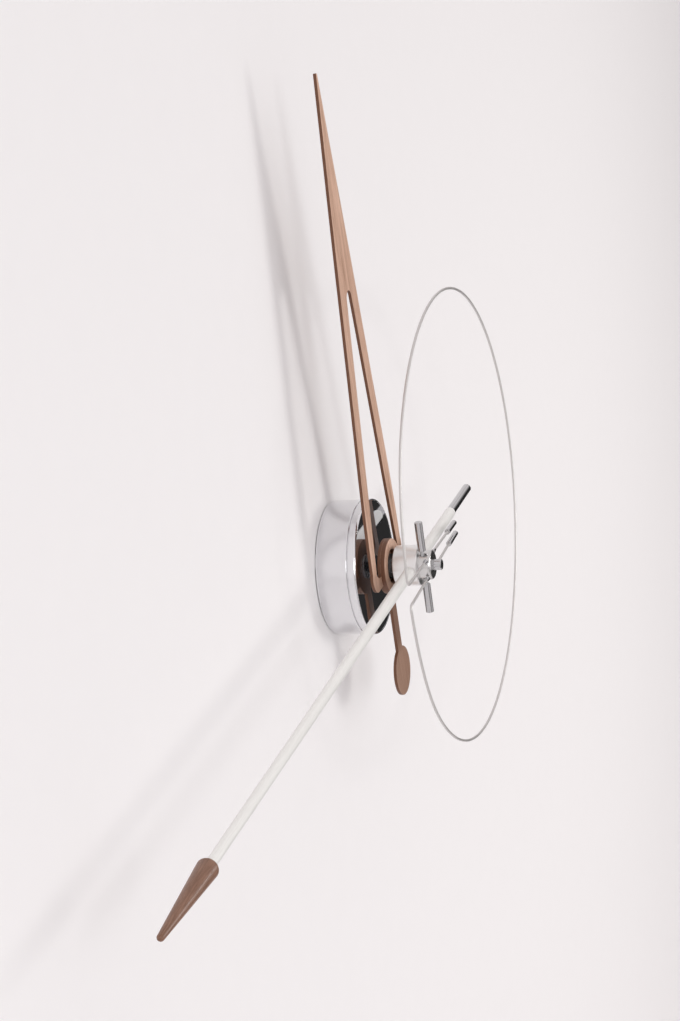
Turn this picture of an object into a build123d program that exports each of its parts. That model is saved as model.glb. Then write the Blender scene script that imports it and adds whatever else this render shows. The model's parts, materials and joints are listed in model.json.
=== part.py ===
"""Sculptural wall clock: round steel case on the wall, walnut hour hand, balanced minute hand.

Frame: the origin is on the wall, on the axis of the hands. X points right, Z up and Y into the wall,
so a height above the wall is -Y. Turns are degrees clockwise from twelve, seen from the room.
"""
from math import acos, cos, degrees, pi, radians, sin, tan
import os

from build123d import *

os.makedirs("parts", exist_ok=True)

# Hands at rest
MINUTE_TURN = 243.9
HOUR_TURN = -27.15

# Heights above the wall of the visible layers
DRUM_TOP = 29.7
COVER_TOP = 38.0
BLADE_BACK = 47.3
BARREL_BACK = 59.3
ROD_HEIGHT = 75.0
BARREL_TOP = 82.0
BAR_HEIGHT = 86.0
WIRE_HEIGHT = 90.4
BLOCK_TOP = 93.5
KNOB_TOP = 101.6

# Case
DRUM_RADIUS = 62.3
COVER_RADIUS = 63.0
CASE_WALL = 1.2
COVER_WALL = 1.5
MIRROR_THICKNESS = 1.5
MIRROR_SINK = 0.2
RIM_WIDTH = 2.2
RIM_ROUNDING = 1.9
DRUM_REAR_ROUNDING = 1.0
DRUM_FRONT_ROUNDING = 0.9
COVER_REAR_ROUNDING = 1.2
COVER_SPIGOT_BACK = 24.0
SEAM = 0.8
WALL_GAP = 0.4

# Wall plate
PLATE_RADIUS = 57.0
PLATE_THICKNESS = 2.5
WALL_SCREW_SPACING = 80.0
WALL_SCREW_RADIUS = 2.3
WALL_SCREW_SINK_RADIUS = 3.8
WALL_SCREW_SINK_ANGLE = 90
LUG_TURNS = (30.0, 150.0, 270.0)
LUG_WIDTH = 12.0
LUG_TOP = 12.0
LUG_THICKNESS = 3.6
LUG_REACH = 3.7
LUG_FOOT = 7.0
CASE_SCREW_TURNS = LUG_TURNS[:2]
CASE_SCREW_HEIGHT = 7.0
CASE_SCREW_RADIUS = 1.5
CASE_SCREW_LENGTH = 5.0
CASE_HOLE_START = 63.0
HEX_SOCKET_RADIUS, HEX_SOCKET_DEPTH = 0.85, 1.8

# Minute hand
ROD_RADIUS = 5.3
ROD_TIP_RADIUS = 4.15
ROD_BORE = 3.2
ROD_STRAIGHT = 24.0
ROD_TAIL = 142.0
TIP_START = 554.0
TIP_END = 646.0
TIP_RADIUS = 8.1
TIP_NOSE_RADIUS = 2.7
TIP_SOCKET = 14.0
TIP_SHOULDER = 4.0
WEIGHT_END = 214.5
WEIGHT_RADIUS = 4.6
SPIGOT = 12.0
BARREL_RADIUS = 18.7
ARBOR_SCREW_HEIGHT = 64.0
SET_SCREW_RADIUS, SET_SCREW_SINK = 1.5, 1.0
BLOCK_RADIUS = 13.75
BLOCK_ROUNDING = 2.6
KNOB_RADIUS = 5.2
KNOB_STUD_RADIUS = 2.0
KNOB_STUD_BACK = 84.0
KNOB_NECK, KNOB_NECK_LENGTH = 0.5, 1.0
BAR_PIN_RADIUS = 1.8
BAR_WEIGHT_RADIUS = 3.65
BAR_WEIGHT_START = 16.0
BAR_WEIGHT_END = 44.0
BAR_PIN_DEPTH = 8.0
BAR_OFFSET = 6.0

# Wire ring of the minute hand
WIRE_RADIUS = 1.25
RING_RADIUS = 220.0
RING_OFFSET = 136.0
RING_FLATTENING = 7.0
FLAT_START = 40.0
FLAT_MIDDLE = 20.0
BEND_RADIUS = 5.0
WIRE_SPREAD_AT_BEND = 9.6
WIRE_SPREAD_AT_END = 5.4
WIRE_END = 90.0
SLEEVE_START = 69.5
SLEEVE_END = 97.5
SLEEVE_RADIUS = 2.7
FERRULE_START = 13.3
FERRULE_LENGTH = 6.5
FERRULE_RADIUS = 2.3
FERRULE_WALL = 0.35
WIRE_BORE_START = 40.0

# Hour hand, measured along it from the axis
BLADE_THICKNESS = 3.0
BLADE_TIP = 452.0
SLOT_TOP = 262.0
SLOT_BOTTOM, SLOT_HALF_WIDTH = 0.0, 36.8
SLOT_CORNER_START, SLOT_CORNER_TOP = 26.0, 6.0
SLOT_HEAD_START, SLOT_HEAD_HALF_WIDTH = 254.0, 7.4
BLADE_HALF_WIDTH, SHOULDER_ALONG = 47.8, 10.0
HEEL_ACROSS, BLADE_FOOT = 37.5, 10.5
TIP_NOSE = 1.4
BOSS_RADIUS = 25.5
BOSS_BORE = 15.5
BOSS_THICKNESS = 4.5
COLLET_RADIUS = 6.5
COLLET_FLANGE, COLLET_FLANGE_RADIUS = 2.0, 11.0
COLLET_NUT_RADIUS, COLLET_NUT_THICKNESS = 11.5, 3.0
SPANNER_SLOT_RADIUS = 1.2
BOSS_ROUNDING = 1.2
TAIL_HALF_WIDTH = 6.6
PADDLE_CENTRE = 106.0
PADDLE_RADIUS = 23.2

# Movement
HOUSING_HALF_WIDTH = 28.0
HOUSING_HEIGHT_UP = 20.0
HOUSING_HEIGHT_DOWN = 36.0
HOUSING_BACK = 14.3
HOUSING_SPLIT = 24.0
HOUSING_FRONT = 33.3
HOUSING_SKIN = 1.6
HOUSING_WALL = 1.4
HOUSING_CORNER = 3.0
ARBOR_RADIUS = 2.95
PIPE_BORE = 3.0
PIPE_RADIUS = 4.65
BUSH_BORE = 4.7
BUSH_RADIUS = 6.0
BUSH_TOP = 43.0
PIPE_TOP = 57.0
BATTERY_RADIUS = 7.25
BATTERY_LENGTH = 49.0
BATTERY_NUB_RADIUS, BATTERY_NUB = 2.6, 1.2
BATTERY_Z = -26.4
BATTERY_HEIGHT = 24.0

# Gears: teeth and modules
CENTRE_TEETH, THIRD_PINION_TEETH, DRIVE_MODULE = 80, 8, 0.30
THIRD_TEETH, ROTOR_TEETH, ROTOR_MODULE = 72, 8, 0.30
CANNON_TEETH, MINUTE_TEETH, MOTION_MODULE = 15, 45, 0.45
MINUTE_PINION_TEETH, HOUR_TEETH = 12, 48
WHEEL_ADDENDUM, PINION_ADDENDUM, DEDENDUM = 0.55, 0.80, 1.20
TOOTH_SHARE = 0.41
PRESSURE_ANGLE = radians(20)
FIT = 0.05


def dial_plane(height, turn=0.0, x=0.0, z=0.0):
    """Plane parallel to the wall, seen from the room, with its Y axis turned clockwise from twelve."""
    a = radians(turn)
    return Plane(origin=(x, -height, z), x_dir=(cos(a), 0, -sin(a)), z_dir=(0, -1, 0))


def cross_plane(height, turn, distance, direction):
    """Plane whose normal points along a line parallel to the wall, distance mm out from the axis."""
    a = radians(turn + direction)
    out = Vector(sin(a), 0, cos(a))
    return Plane(origin=(out.X * distance, -height, out.Z * distance), z_dir=out)


def bar_plane(distance, direction):
    """Plane across the bar through the hub block, which lies off the axis, towards the rod's tip."""
    across = cross_plane(BAR_HEIGHT, MINUTE_TURN, distance, direction)
    middle = cross_plane(0, MINUTE_TURN, BAR_OFFSET, 0)
    return Plane(origin=across.origin + middle.origin, z_dir=across.z_dir)


def finish(part, name):
    """Label one sub-part and write its STEP file."""
    part.label = name
    export_step(part, f"parts/{name}.step")


def polar(radius, angle):
    return (radius * cos(angle), radius * sin(angle))


def involute(angle):
    return tan(angle) - angle


def gear_sketch(teeth, module, addendum, phase):
    """Involute gear outline with short teeth; phase is the direction of one tooth, in degrees."""
    pitch = module * teeth / 2
    base = pitch * cos(PRESSURE_ANGLE)
    root = pitch - DEDENDUM * module
    tip = pitch + addendum * module
    start = max(root, base)

    def half_angle(radius):
        lean = involute(PRESSURE_ANGLE) - involute(acos(min(1.0, base / radius)))
        return TOOTH_SHARE * pi / teeth + lean

    middle = (start + tip) / 2
    foot = root - 0.3 * module
    with BuildSketch() as tooth:
        with BuildLine():
            flank = [polar(r, half_angle(r)) for r in (start, middle, tip)]
            other = [(x, -y) for x, y in flank]
            ThreePointArc(*flank)
            ThreePointArc(flank[2], (tip, 0), other[2])
            ThreePointArc(*reversed(other))
            Polyline(other[0], polar(foot, -half_angle(start)), polar(foot, half_angle(start)), flank[0])
        make_face()
    with BuildSketch() as outline:
        Circle(root)
        with PolarLocations(0, teeth, start_angle=phase):
            add(tooth.sketch)
    return outline.sketch


def mesh_centre(x, z, direction, module, teeth_sum):
    """Centre of the gear that meshes with the one at (x, z), in the given direction."""
    distance = module * teeth_sum / 2
    return (x + distance * cos(radians(direction)), z + distance * sin(radians(direction)))


def facing_gap(direction, teeth):
    """Phase that puts a gap, not a tooth, towards the gear in the given direction."""
    return direction + 180 / teeth


# Positions of the arbors of the movement, as X and Z
THIRD_DIRECTION = 155.0
ROTOR_DIRECTION = 245.0
MINUTE_DIRECTION = 0.0
THIRD_AT = mesh_centre(0, 0, THIRD_DIRECTION, DRIVE_MODULE, CENTRE_TEETH + THIRD_PINION_TEETH)
ROTOR_AT = mesh_centre(*THIRD_AT, ROTOR_DIRECTION, ROTOR_MODULE, THIRD_TEETH + ROTOR_TEETH)
MINUTE_AT = mesh_centre(0, 0, MINUTE_DIRECTION, MOTION_MODULE, CANNON_TEETH + MINUTE_TEETH)
THIRD_PIVOT, ROTOR_PIVOT, MINUTE_PIVOT, CENTRE_PIVOT = 0.5, 0.4, 0.8, 1.2
KNOB_SHAFT_RADIUS = 1.0
HOUSING_SCREWS_AT = [(25.0, 17.0), (-25.0, 17.0)]
HOUSING_SCREW_RADIUS, HOUSING_SCREW_LENGTH = 1.0, 14.0
HOUSING_SCREW_HEAD_RADIUS, HOUSING_SCREW_HEAD = 2.0, 1.2
CROSS_RECESS, CROSS_RECESS_WIDTH, CROSS_RECESS_DEPTH = 2.4, 0.5, 0.7
SCREW_END_ROOM = 0.7
HOUSING_CENTRE_Z = (HOUSING_HEIGHT_UP - HOUSING_HEIGHT_DOWN) / 2
HOUSING_HEIGHT = HOUSING_HEIGHT_UP + HOUSING_HEIGHT_DOWN

# ---------------------------------------------------------------- case

# Wall plate: a steel disc screwed to the wall, with three lugs that the drum slides over
with BuildPart() as wall_plate:
    with BuildSketch(dial_plane(0)):
        Circle(PLATE_RADIUS)
    extrude(amount=PLATE_THICKNESS)
    for turn in LUG_TURNS:
        with BuildSketch(dial_plane(0, turn)):
            with Locations((0, PLATE_RADIUS + LUG_REACH - LUG_FOOT / 2)):
                Rectangle(LUG_WIDTH, LUG_FOOT)
        extrude(amount=PLATE_THICKNESS)
        with BuildSketch(dial_plane(PLATE_THICKNESS, turn)):
            with Locations((0, PLATE_RADIUS + LUG_REACH - LUG_THICKNESS / 2)):
                Rectangle(LUG_WIDTH, LUG_THICKNESS)
        extrude(amount=LUG_TOP - PLATE_THICKNESS)
    with Locations(dial_plane(PLATE_THICKNESS)):
        with GridLocations(WALL_SCREW_SPACING, 0, 2, 1):
            CounterSinkHole(WALL_SCREW_RADIUS, WALL_SCREW_SINK_RADIUS, PLATE_THICKNESS, WALL_SCREW_SINK_ANGLE)
    for turn in CASE_SCREW_TURNS:
        with Locations(cross_plane(CASE_SCREW_HEIGHT, turn, CASE_HOLE_START, 0)):
            Hole(CASE_SCREW_RADIUS, depth=12)
finish(wall_plate.part, "wall_plate")

# Drum: thin turned shell, open towards the wall
with BuildPart() as drum:
    with BuildSketch(dial_plane(WALL_GAP)):
        Circle(DRUM_RADIUS)
        Circle(DRUM_RADIUS - CASE_WALL, mode=Mode.SUBTRACT)
    extrude(amount=DRUM_TOP - WALL_GAP)
    rims = drum.edges().filter_by(GeomType.CIRCLE).filter_by(lambda e: e.radius > DRUM_RADIUS - 0.1)
    fillet(rims.sort_by(Axis.Y)[-1], DRUM_REAR_ROUNDING)
    fillet(rims.sort_by(Axis.Y)[0], DRUM_FRONT_ROUNDING)
    for turn in CASE_SCREW_TURNS:
        with Locations(cross_plane(CASE_SCREW_HEIGHT, turn, CASE_HOLE_START, 0)):
            Hole(CASE_SCREW_RADIUS, depth=4)
finish(drum.part, "drum")

# Grub screws that hold the drum on two of the lugs
with BuildPart() as case_screws:
    for turn in CASE_SCREW_TURNS:
        with BuildSketch(cross_plane(CASE_SCREW_HEIGHT, turn, PLATE_RADIUS + 0.1, 0)):
            Circle(CASE_SCREW_RADIUS)
        extrude(amount=CASE_SCREW_LENGTH)
        with BuildSketch(cross_plane(CASE_SCREW_HEIGHT, turn, PLATE_RADIUS + 0.1 + CASE_SCREW_LENGTH, 0)):
            RegularPolygon(HEX_SOCKET_RADIUS, 6)
        extrude(amount=-HEX_SOCKET_DEPTH, mode=Mode.SUBTRACT)
finish(case_screws.part, "case_screws")

# Front cover: a shallow cup with a rim round the mirror and a spigot inside the drum
COVER_BACK = DRUM_TOP + SEAM
MIRROR_BACK = COVER_TOP - MIRROR_SINK - MIRROR_THICKNESS
COVER_WALL_BACK = MIRROR_BACK - COVER_WALL
SPIGOT_RADIUS = DRUM_RADIUS - CASE_WALL
with BuildPart() as front_cover:
    with BuildSketch(dial_plane(COVER_BACK)):
        Circle(COVER_RADIUS)
    extrude(amount=COVER_TOP - COVER_BACK)
    with BuildSketch(dial_plane(COVER_SPIGOT_BACK)):
        Circle(SPIGOT_RADIUS)
    extrude(amount=COVER_BACK - COVER_SPIGOT_BACK)
    with BuildSketch(dial_plane(MIRROR_BACK)):
        Circle(COVER_RADIUS - RIM_WIDTH)
    extrude(amount=COVER_TOP - MIRROR_BACK, mode=Mode.SUBTRACT)
    with BuildSketch(dial_plane(COVER_SPIGOT_BACK)):
        Circle(SPIGOT_RADIUS - COVER_WALL)
    extrude(amount=COVER_WALL_BACK - COVER_SPIGOT_BACK, mode=Mode.SUBTRACT)
    with BuildSketch(dial_plane(COVER_WALL_BACK)):
        Circle(BUSH_RADIUS)
    extrude(amount=COVER_WALL, mode=Mode.SUBTRACT)
    outer = front_cover.edges().filter_by(GeomType.CIRCLE).filter_by(lambda e: e.radius > COVER_RADIUS - 0.1)
    fillet(outer.sort_by(Axis.Y)[-1], COVER_REAR_ROUNDING)
    fillet(outer.sort_by(Axis.Y)[0], RIM_ROUNDING)
finish(front_cover.part, "front_cover")

# Mirror: polished disc let into the cover
with BuildPart() as mirror_disc:
    with BuildSketch(dial_plane(MIRROR_BACK)):
        Circle(COVER_RADIUS - RIM_WIDTH)
        Circle(BUSH_RADIUS, mode=Mode.SUBTRACT)
    extrude(amount=MIRROR_THICKNESS)
finish(mirror_disc.part, "mirror_disc")

# ---------------------------------------------------------------- movement housing


def housing_outline(inset):
    """Rounded rectangle of the movement, in from its outer faces by inset."""
    with BuildSketch() as outline:
        with Locations((0, HOUSING_CENTRE_Z)):
            RectangleRounded(
                2 * (HOUSING_HALF_WIDTH - inset), HOUSING_HEIGHT - 2 * inset, HOUSING_CORNER - inset
            )
    return outline.sketch


outer_outline = housing_outline(0)
inner_outline = housing_outline(HOUSING_WALL)
BACK_SKIN = HOUSING_BACK + HOUSING_SKIN
FRONT_SKIN = HOUSING_FRONT - HOUSING_SKIN
BATTERY_DOOR = (51.5, 15.0)

# Rear half, with the battery opening, the lower pivots and the hole for the setting shaft
REAR_BOSSES = [
    ((0, 0), 3.0, 18.5, CENTRE_PIVOT),
    (THIRD_AT, 1.8, 18.7, THIRD_PIVOT),
    (ROTOR_AT, 1.6, 16.4, ROTOR_PIVOT),
]
REAR_PIVOT_FLOOR = 14.9
with BuildPart() as rear_housing:
    with BuildSketch(dial_plane(HOUSING_BACK)):
        add(outer_outline)
    extrude(amount=HOUSING_SPLIT - HOUSING_BACK)
    with BuildSketch(dial_plane(BACK_SKIN)):
        add(inner_outline)
    extrude(amount=HOUSING_SPLIT - BACK_SKIN, mode=Mode.SUBTRACT)
    for centre, radius, top, pivot in REAR_BOSSES:
        with BuildSketch(dial_plane(BACK_SKIN)):
            with Locations(centre):
                Circle(radius)
        extrude(amount=top - BACK_SKIN)
    with BuildSketch(dial_plane(BACK_SKIN)):
        with Locations(*HOUSING_SCREWS_AT):
            Circle(HOUSING_SCREW_HEAD_RADIUS)
    extrude(amount=HOUSING_SPLIT - BACK_SKIN)
    for centre, radius, top, pivot in REAR_BOSSES:
        with BuildSketch(dial_plane(REAR_PIVOT_FLOOR)):
            with Locations(centre):
                Circle(pivot + FIT)
        extrude(amount=top - REAR_PIVOT_FLOOR, mode=Mode.SUBTRACT)
    with BuildSketch(dial_plane(HOUSING_BACK)):
        with Locations(MINUTE_AT):
            Circle(KNOB_SHAFT_RADIUS + FIT)
        with Locations(*HOUSING_SCREWS_AT):
            Circle(HOUSING_SCREW_RADIUS)
        with Locations((0, BATTERY_Z)):
            Rectangle(*BATTERY_DOOR)
    extrude(amount=HOUSING_SPLIT - HOUSING_BACK, mode=Mode.SUBTRACT)
finish(rear_housing.part, "rear_housing")

# Front half, with the upper pivots and the seat of the threaded bush
FRONT_BOSSES = [
    (THIRD_AT, 1.8, 23.6, THIRD_PIVOT, 2.6),
    (ROTOR_AT, 1.6, 24.4, ROTOR_PIVOT, 2.6),
    (MINUTE_AT, 2.2, 29.4, MINUTE_PIVOT, 2.6),
]
BUSH_FLANGE_RADIUS = 8.0
with BuildPart() as front_housing:
    with BuildSketch(dial_plane(HOUSING_SPLIT)):
        add(outer_outline)
    extrude(amount=HOUSING_FRONT - HOUSING_SPLIT)
    with BuildSketch(dial_plane(HOUSING_SPLIT)):
        add(inner_outline)
    extrude(amount=FRONT_SKIN - HOUSING_SPLIT, mode=Mode.SUBTRACT)
    for centre, radius, bottom, pivot, depth in FRONT_BOSSES:
        with BuildSketch(dial_plane(FRONT_SKIN)):
            with Locations(centre):
                Circle(radius)
        extrude(amount=bottom - FRONT_SKIN)
    with BuildSketch(dial_plane(HOUSING_SPLIT)):
        with Locations(*HOUSING_SCREWS_AT):
            Circle(HOUSING_SCREW_HEAD_RADIUS)
    extrude(amount=FRONT_SKIN - HOUSING_SPLIT)
    for centre, radius, bottom, pivot, depth in FRONT_BOSSES:
        with BuildSketch(dial_plane(bottom)):
            with Locations(centre):
                Circle(pivot + FIT)
        extrude(amount=depth, mode=Mode.SUBTRACT)
    with BuildSketch(dial_plane(HOUSING_SPLIT)):
        with Locations(*HOUSING_SCREWS_AT):
            Circle(HOUSING_SCREW_RADIUS)
    extrude(amount=HOUSING_BACK + HOUSING_SCREW_LENGTH - HOUSING_SPLIT + SCREW_END_ROOM, mode=Mode.SUBTRACT)
    with BuildSketch(dial_plane(FRONT_SKIN)):
        Circle(BUSH_FLANGE_RADIUS)
    extrude(amount=HOUSING_SKIN, mode=Mode.SUBTRACT)
finish(front_housing.part, "front_housing")

with BuildPart() as housing_screws:
    with BuildSketch(dial_plane(HOUSING_BACK)):
        with Locations(*HOUSING_SCREWS_AT):
            Circle(HOUSING_SCREW_RADIUS)
    extrude(amount=HOUSING_SCREW_LENGTH)
    with BuildSketch(dial_plane(HOUSING_BACK)):
        with Locations(*HOUSING_SCREWS_AT):
            Circle(HOUSING_SCREW_HEAD_RADIUS)
    extrude(amount=-HOUSING_SCREW_HEAD)
    with BuildSketch(dial_plane(HOUSING_BACK - HOUSING_SCREW_HEAD)):
        with Locations(*HOUSING_SCREWS_AT):
            Rectangle(CROSS_RECESS, CROSS_RECESS_WIDTH)
            Rectangle(CROSS_RECESS_WIDTH, CROSS_RECESS)
    extrude(amount=CROSS_RECESS_DEPTH, mode=Mode.SUBTRACT)
finish(housing_screws.part, "housing_screws")

# ---------------------------------------------------------------- fixing of the movement in the cover

with BuildPart() as threaded_bush:
    with BuildSketch(dial_plane(FRONT_SKIN)):
        Circle(BUSH_FLANGE_RADIUS)
    extrude(amount=HOUSING_SKIN)
    with BuildSketch(dial_plane(FRONT_SKIN)):
        Circle(BUSH_RADIUS)
    extrude(amount=BUSH_TOP - FRONT_SKIN)
    chamfer(threaded_bush.edges().sort_by(Axis.Y)[0], 0.4)
    with BuildSketch(dial_plane(FRONT_SKIN)):
        Circle(BUSH_BORE)
    extrude(amount=BUSH_TOP - FRONT_SKIN, mode=Mode.SUBTRACT)
finish(threaded_bush.part, "threaded_bush")

RUBBER_RADIUS = 15.0
with BuildPart() as rubber_washer:
    with BuildSketch(dial_plane(HOUSING_FRONT)):
        Circle(RUBBER_RADIUS)
        Circle(BUSH_RADIUS, mode=Mode.SUBTRACT)
    extrude(amount=COVER_WALL_BACK - HOUSING_FRONT)
finish(rubber_washer.part, "rubber_washer")

MIRROR_FACE = MIRROR_BACK + MIRROR_THICKNESS
WASHER_THICKNESS = 0.8
WASHER_RADIUS = 10.5
with BuildPart() as dial_washer:
    with BuildSketch(dial_plane(MIRROR_FACE)):
        Circle(WASHER_RADIUS)
        Circle(BUSH_RADIUS, mode=Mode.SUBTRACT)
    extrude(amount=WASHER_THICKNESS)
    chamfer(dial_washer.edges().group_by(Axis.Y)[0], 0.2)
finish(dial_washer.part, "dial_washer")

NUT_ACROSS_FLATS = 17.0
NUT_THICKNESS = 3.0
with BuildPart() as dial_nut:
    with BuildSketch(dial_plane(MIRROR_FACE + WASHER_THICKNESS)):
        RegularPolygon(NUT_ACROSS_FLATS / 2, 6, major_radius=False)
        Circle(BUSH_RADIUS, mode=Mode.SUBTRACT)
    extrude(amount=NUT_THICKNESS)
    chamfer(dial_nut.edges().group_by(Axis.Y)[0].filter_by(GeomType.LINE), 0.4)
finish(dial_nut.part, "dial_nut")

# ---------------------------------------------------------------- electrical parts

BOARD_BACK = 16.2
BOARD_TOP = 17.0
BOARD_AT = (15.0, -2.5)
BOARD_SIZE = (22.0, 31.0)
BOARD_HOLE_RADIUS = 2.4
CHIP_AT = (11.0, -12.5)
CHIP_RADIUS, CHIP_HEIGHT, CHIP_ROUNDING = 3.2, 1.1, 0.8
CRYSTAL_AT = (17.5, -15.5)
CRYSTAL_RADIUS, CRYSTAL_LENGTH = 1.0, 6.0
with BuildPart() as circuit_board:
    with BuildSketch(dial_plane(BOARD_BACK)):
        with Locations(BOARD_AT):
            Rectangle(*BOARD_SIZE)
        with Locations(MINUTE_AT):
            Circle(BOARD_HOLE_RADIUS, mode=Mode.SUBTRACT)
    extrude(amount=BOARD_TOP - BOARD_BACK)
finish(circuit_board.part, "circuit_board")

with BuildPart() as clock_chip:
    with BuildSketch(dial_plane(BOARD_TOP)):
        with Locations(CHIP_AT):
            Circle(CHIP_RADIUS)
    extrude(amount=CHIP_HEIGHT)
    fillet(clock_chip.edges().sort_by(Axis.Y)[0], CHIP_ROUNDING)
finish(clock_chip.part, "clock_chip")

with BuildPart() as quartz_crystal:
    crystal_base = (CRYSTAL_AT[0], -BOARD_TOP - CRYSTAL_RADIUS, CRYSTAL_AT[1])
    with BuildSketch(Plane(origin=crystal_base, x_dir=(0, 1, 0), z_dir=(1, 0, 0))):
        Circle(CRYSTAL_RADIUS)
    extrude(amount=CRYSTAL_LENGTH)
    chamfer(quartz_crystal.edges().sort_by(Axis.X)[-1], 0.2)
finish(quartz_crystal.part, "quartz_crystal")

# Stepping motor: stator plate, core, bobbin and winding
STATOR_BACK, STATOR_TOP, CORE_TOP = 17.8, 18.8, 19.7
FOOT_X = (-24.8, -7.2)
FOOT_WIDTH = 2.6
COIL_Z = -15.3
CORE_HALF = 1.5
STATOR_BAND, STATOR_BORE = 11.0, 3.8
STATOR_NOTCH_WIDTH, STATOR_NOTCH_SPAN = 0.5, 9.0
with BuildPart() as stator_plate:
    with BuildSketch(dial_plane(STATOR_BACK)):
        with Locations((sum(FOOT_X) / 2, ROTOR_AT[1])):
            Rectangle(FOOT_X[1] - FOOT_X[0] + FOOT_WIDTH, STATOR_BAND)
        with Locations(*[(x, (COIL_Z - CORE_HALF) / 2) for x in FOOT_X]):
            Rectangle(FOOT_WIDTH, -(COIL_Z - CORE_HALF))
        with Locations(ROTOR_AT):
            Circle(STATOR_BORE, mode=Mode.SUBTRACT)
            Rectangle(STATOR_NOTCH_WIDTH, STATOR_NOTCH_SPAN, mode=Mode.SUBTRACT)
    extrude(amount=STATOR_TOP - STATOR_BACK)
finish(stator_plate.part, "stator_plate")

with BuildPart() as coil_core:
    with BuildSketch(dial_plane(STATOR_TOP)):
        with Locations((sum(FOOT_X) / 2, COIL_Z)):
            Rectangle(FOOT_X[1] - FOOT_X[0] + FOOT_WIDTH, 2 * CORE_HALF)
    extrude(amount=CORE_TOP - STATOR_TOP)
finish(coil_core.part, "coil_core")

CORE_HEIGHT = (STATOR_TOP + CORE_TOP) / 2
COIL_START, COIL_END, FLANGE = -23.0, -9.0, 0.7
BOBBIN_CORE = (4.2, 2.6, 0.5)
BOBBIN_FLANGE = (6.0, 6.0, 1.0)
WINDING = (5.4, 5.4, 1.6)


def coil_plane(x):
    """Plane across the coil at x, with its X axis along Z."""
    return Plane(origin=(x, -CORE_HEIGHT, COIL_Z), x_dir=(0, 0, 1), z_dir=(1, 0, 0))


with BuildPart() as coil_bobbin:
    with BuildSketch(coil_plane(COIL_START)):
        RectangleRounded(*BOBBIN_CORE)
    extrude(amount=COIL_END - COIL_START)
    with BuildSketch(coil_plane(COIL_START), coil_plane(COIL_END - FLANGE)):
        RectangleRounded(*BOBBIN_FLANGE)
    extrude(amount=FLANGE)
    with BuildSketch(coil_plane(COIL_START)):
        Rectangle(2 * CORE_HALF, CORE_TOP - STATOR_TOP)
    extrude(amount=COIL_END - COIL_START, mode=Mode.SUBTRACT)
finish(coil_bobbin.part, "coil_bobbin")

with BuildPart() as coil_winding:
    with BuildSketch(coil_plane(COIL_START + FLANGE)):
        RectangleRounded(*WINDING)
        RectangleRounded(*BOBBIN_CORE, mode=Mode.SUBTRACT)
    extrude(amount=COIL_END - COIL_START - 2 * FLANGE)
finish(coil_winding.part, "coil_winding")


def battery_plane(x):
    return Plane(origin=(x, -BATTERY_HEIGHT, BATTERY_Z), z_dir=(1, 0, 0))


with BuildPart() as battery:
    with BuildSketch(battery_plane(-BATTERY_LENGTH / 2)):
        Circle(BATTERY_RADIUS)
    extrude(amount=BATTERY_LENGTH)
    fillet(battery.edges().filter_by(GeomType.CIRCLE), 0.6)
    with BuildSketch(battery_plane(BATTERY_LENGTH / 2)):
        Circle(BATTERY_NUB_RADIUS)
    extrude(amount=BATTERY_NUB)
finish(battery.part, "battery")

CONTACT = 0.4
CONTACT_WIDTH = 9.0
SPRING_REACH, SPRING_WIDTH = 5.5, 6.0
with BuildPart() as contact_positive:
    with BuildSketch(battery_plane(BATTERY_LENGTH / 2 + BATTERY_NUB)):
        Rectangle(CONTACT_WIDTH, CONTACT_WIDTH)
    extrude(amount=CONTACT)
finish(contact_positive.part, "contact_positive")

# Negative contact: a strip against the wall of the housing, bowed towards the battery
INNER_X = HOUSING_HALF_WIDTH - HOUSING_WALL
with BuildPart() as contact_negative:
    with BuildSketch(dial_plane(BATTERY_HEIGHT, 0, 0, BATTERY_Z)):
        with BuildLine():
            outer, inner = SPRING_REACH, SPRING_REACH - CONTACT
            ThreePointArc((-INNER_X, -outer), (-BATTERY_LENGTH / 2 - CONTACT, 0), (-INNER_X, outer))
            ThreePointArc((-INNER_X, inner), (-BATTERY_LENGTH / 2 - 2 * CONTACT, 0), (-INNER_X, -inner))
            Line((-INNER_X, -outer), (-INNER_X, -inner))
            Line((-INNER_X, outer), (-INNER_X, inner))
        make_face()
    extrude(amount=SPRING_WIDTH / 2, both=True)
finish(contact_negative.part, "contact_negative")

# ---------------------------------------------------------------- drive wheels

CENTRE_WHEEL_BACK, CENTRE_WHEEL_TOP = 20.0, 21.0
centre_outline = gear_sketch(CENTRE_TEETH, DRIVE_MODULE, WHEEL_ADDENDUM, THIRD_DIRECTION)
ARBOR_SEAT = 1.6
WHEEL_WINDOWS = 5
CENTRE_WINDOW_AT, CENTRE_WINDOW = 6.9, 2.7
with BuildPart() as centre_wheel:
    with BuildSketch(dial_plane(CENTRE_WHEEL_BACK)):
        add(centre_outline)
        Circle(ARBOR_SEAT, mode=Mode.SUBTRACT)
        with PolarLocations(CENTRE_WINDOW_AT, WHEEL_WINDOWS):
            Circle(CENTRE_WINDOW, mode=Mode.SUBTRACT)
    extrude(amount=CENTRE_WHEEL_TOP - CENTRE_WHEEL_BACK)
finish(centre_wheel.part, "centre_wheel")

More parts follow.
